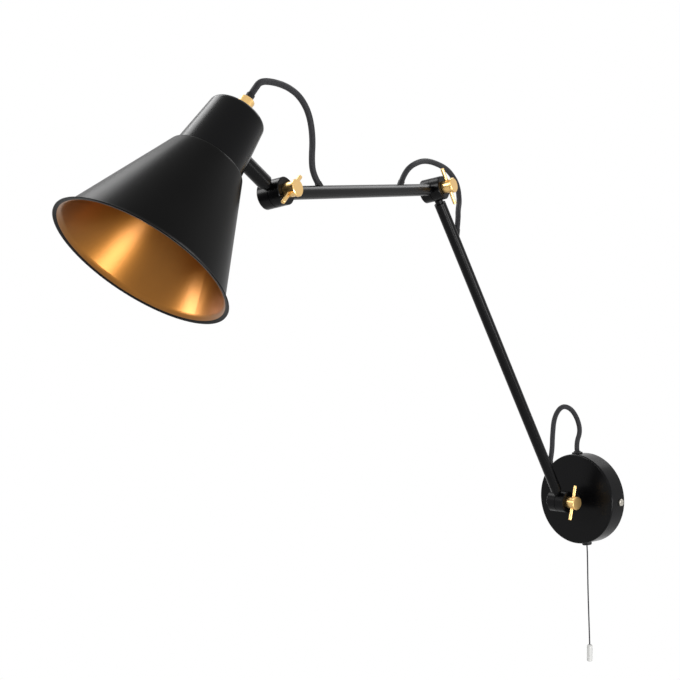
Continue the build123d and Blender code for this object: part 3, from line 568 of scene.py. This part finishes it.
# turned and brushed: warm, with soft edges to its highlights
satin_brass = make_fitting_metal("satin_turned_brass", "#DAB26E", "#E4C084",
                                 roughness=0.3, grain_size=0.5 * MM, relief=0.06)
# stamped from bright strip: yellower and glossier
contact_brass = make_fitting_metal("bright_stamped_brass", "#C49A52", "#D6B068",
                                   roughness=0.22, grain_size=0.8 * MM)
# plated in a barrel: a cold grey, dulled by knocks
zinc_plate = make_fitting_metal("zinc_plated_steel", "#8E9094", "#A4A7AB",
                                roughness=0.38, grain_size=0.9 * MM)
# plated and polished: a warmer and brighter grey
nickel_plate = make_fitting_metal("nickel_plated_steel", "#A39E94", "#BDB9B0",
                                  roughness=0.26, grain_size=0.6 * MM)
print("metals made")

# %% [markdown]
# ## Mouldings
# Ferrules, gland and collar are matt black nylon, the bell is polythene, and the other plastics
# are inside the lamp. One plain colour would do for their tone, but not for their skin, which has
# the fine spark-eroded grain of its mould. That grain is about 0.05 mm, too fine to show, so it is
# drawn at 0.3 mm or more.

# %% Plastics and fibre
def make_moulding(name, code, light_code, roughness, grain_size, specular=0.5):
    """A moulded or pressed material: an even colour, one gloss and a fine grain."""
    material, tree, shader = new_material(name)
    place = add(tree, "ShaderNodeTexCoord").outputs["Object"]
    grain = add(tree, "ShaderNodeTexNoise", Vector=place, Scale=1 / grain_size, Detail=2.0)
    tone = add(tree, "ShaderNodeMix", {"data_type": "RGBA"}, Factor=grain.outputs["Fac"],
               _6=colour(code), _7=colour(light_code))
    bump = add(tree, "ShaderNodeBump", Height=grain.outputs["Fac"], Strength=0.2,
               Distance=0.02 * MM)
    fill_in(tree, shader, Base_Color=tone.outputs[2], Roughness=roughness,
            Specular_IOR_Level=specular, Normal=bump.outputs["Normal"])
    return material


# moulded nylon: black with a dull, even skin
black_nylon = make_moulding("matt_black_nylon", "#0D0D0E", "#131314",
                            roughness=0.5, grain_size=0.5 * MM, specular=0.2)
# phenolic pressed hot: a slightly brown black, harder and glossier
phenolic = make_moulding("black_phenolic_moulding", "#0C0A09", "#141210",
                         roughness=0.4, grain_size=0.7 * MM, specular=0.3)
# moulded polyamide: the opaque white of a terminal block
white_polyamide = make_moulding("white_polyamide", "#D6D5CF", "#E2E1DC",
                                roughness=0.4, grain_size=0.6 * MM)
# drawn sheath of the bare cores: ivory, slightly waxy
core_pvc = make_moulding("ivory_core_sheath", "#BDB7A8", "#CFCABC",
                         roughness=0.45, grain_size=0.5 * MM)
# fibre pressed to a board and punched: dull, with a visible mottle
friction_fibre = make_moulding("grey_pressed_fibre", "#3A3733", "#4C4843",
                               roughness=0.8, grain_size=0.3 * MM)
# moulded polythene: milky and waxy, with slow changes of tone
bell_plastic = make_moulding("milky_polythene", "#BEBEBC", "#C8C8C6",
                             roughness=0.35, grain_size=4.0 * MM)
print("mouldings made")

# %% [markdown]
# ## Give every part its finish
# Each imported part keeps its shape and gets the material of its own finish. The record already
# names a slot for every part, so the finishes are handed out by slot and none can be forgotten.

# %% Assign finishes
finish_of_slot = {
    "black_satin": satin_black, "shade_two_tone": shade_paint, "satin_brass": satin_brass,
    "black_moulding": black_nylon, "charcoal_braid": braid, "core_sheath": core_pvc,
    "zinc_steel": zinc_plate, "nickel_steel": nickel_plate, "terminal_white": white_polyamide,
    "holder_black": phenolic, "contact_brass": contact_brass, "shell_nickel": nickel_plate,
    "fibre_grey": friction_fibre, "pull_cord_grey": cord_grey, "bell_white": bell_plastic,
}
for part in frame["record"]["subparts"]:
    mesh = nodes[part["node"]].data
    finish = finish_of_slot[part["material_slot"]]
    if len(mesh.materials) == 0:
        mesh.materials.append(finish)
    for i in range(len(mesh.materials)):
        mesh.materials[i] = finish

# %% [markdown]
# ## A white studio
# The lamp stands before plain white. A white wall would need strong lamps of its own, so the
# world is white where the camera, a reflection or glass sees it, and much dimmer as a light, so
# that colours stay as they are written.

# %% World
WORLD_AS_LIGHT = 0.2
WORLD_AS_SEEN = 1.0
world = bpy.data.worlds.new("white_studio")
bpy.context.scene.world = world
world.use_nodes = True
tree = world.node_tree
tree.nodes.clear()
path = add(tree, "ShaderNodeLightPath")
seen = add(tree, "ShaderNodeMath", {"operation": "MAXIMUM"},
           _0=path.outputs["Is Camera Ray"], _1=path.outputs["Is Glossy Ray"])
seen = add(tree, "ShaderNodeMath", {"operation": "MAXIMUM"},
           _0=seen.outputs["Value"], _1=path.outputs["Is Transmission Ray"])
strength = add(tree, "ShaderNodeMapRange", Value=seen.outputs["Value"],
               To_Min=WORLD_AS_LIGHT, To_Max=WORLD_AS_SEEN)
white = add(tree, "ShaderNodeBackground", Color=colour("#FFFFFF"),
            Strength=strength.outputs["Result"])
add(tree, "ShaderNodeOutputWorld", Surface=white.outputs["Background"])
print("world ready")

# %% [markdown]
# ## Soft lights
# Black and brass show little but reflections. Lights could be placed by eye, but most of these
# were found by rays from the camera, thrown back by the lamp's surface at the photograph's
# highlights, and then moved a little. Three model the shade, two the arms, the cup and the knobs
# from above, and one the side of the rose. All are large, so that highlights have soft edges.

# %% Lights
def soft_light(name, place, towards, size, power):
    """A square lamp, its size in metres and its power in watts, aimed at a point."""
    data = bpy.data.lights.new(name, "AREA")
    data.shape = "SQUARE"
    data.size = size
    data.energy = power
    light = bpy.data.objects.new(name, data)
    aim = (towards - Vector(place)).to_track_quat("-Z", "Y")
    light.matrix_world = Matrix.LocRotScale(Vector(place), aim, None)
    bpy.context.scene.collection.objects.link(light)
    print(name, "%.0f W" % power)


shade_middle = Vector((0.09, -0.70, 0.33))
lamp_middle = Vector((0.05, -0.35, 0.20))
soft_light("key_left", (-0.92, -2.24, 1.08), shade_middle, size=0.75, power=32.0)
soft_light("low_right", (2.00, -0.80, -0.35), shade_middle, size=0.75, power=32.0)
soft_light("high_left", (-1.25, -0.65, 1.75), shade_middle, size=0.8, power=14.0)
soft_light("top_behind", (-0.20, 1.15, 1.53), lamp_middle, size=0.8, power=8.0)
soft_light("front_high", (1.56, -1.57, 1.23), lamp_middle, size=0.5, power=4.0)
soft_light("right_behind", (1.85, 0.45, -0.10), lamp_middle, size=0.6, power=14.0)

# %% [markdown]
# ## The floor
# The lamp hangs on a wall, so the floor lies well below it and only takes its shadow. The edge of
# a plain disc would show as a horizon in other views, so its paint fades out before the edge.

# %% Floor
FLOOR_RADIUS = 2.4
FLOOR_CORNERS = 96
FLOOR_MIDDLE = (0.0, -0.4, -1.0)
FADE_START = 0.3
FADE_END = FLOOR_RADIUS - 0.1
angles = [2 * pi * i / FLOOR_CORNERS for i in range(FLOOR_CORNERS)]
rim = [(FLOOR_MIDDLE[0] + FLOOR_RADIUS * cos(angle),
        FLOOR_MIDDLE[1] + FLOOR_RADIUS * sin(angle), FLOOR_MIDDLE[2]) for angle in angles]
floor_mesh = bpy.data.meshes.new("pale_floor")
floor_mesh.from_pydata(rim, [], [range(FLOOR_CORNERS)])
floor = bpy.data.objects.new("pale_floor", floor_mesh)
bpy.context.scene.collection.objects.link(floor)
floor_paint, tree, shader = new_material("white_studio_floor")
place = add(tree, "ShaderNodeTexCoord").outputs["Object"]
from_middle = add(tree, "ShaderNodeVectorMath", {"operation": "DISTANCE"},
                  _0=place, _1=FLOOR_MIDDLE)
fade = add(tree, "ShaderNodeMapRange", {"interpolation_type": "SMOOTHSTEP"},
           Value=from_middle.outputs["Value"], From_Min=FADE_START, From_Max=FADE_END,
           To_Min=1.0, To_Max=0.0)
fill_in(tree, shader, Base_Color=colour("#FCFCFB"), Roughness=0.8,
        Alpha=fade.outputs["Result"])
floor_mesh.materials.append(floor_paint)
bpy.context.scene.view_settings.view_transform = "Standard"
print("floor %.1f m below the middle of the rose" % -FLOOR_MIDDLE[2])
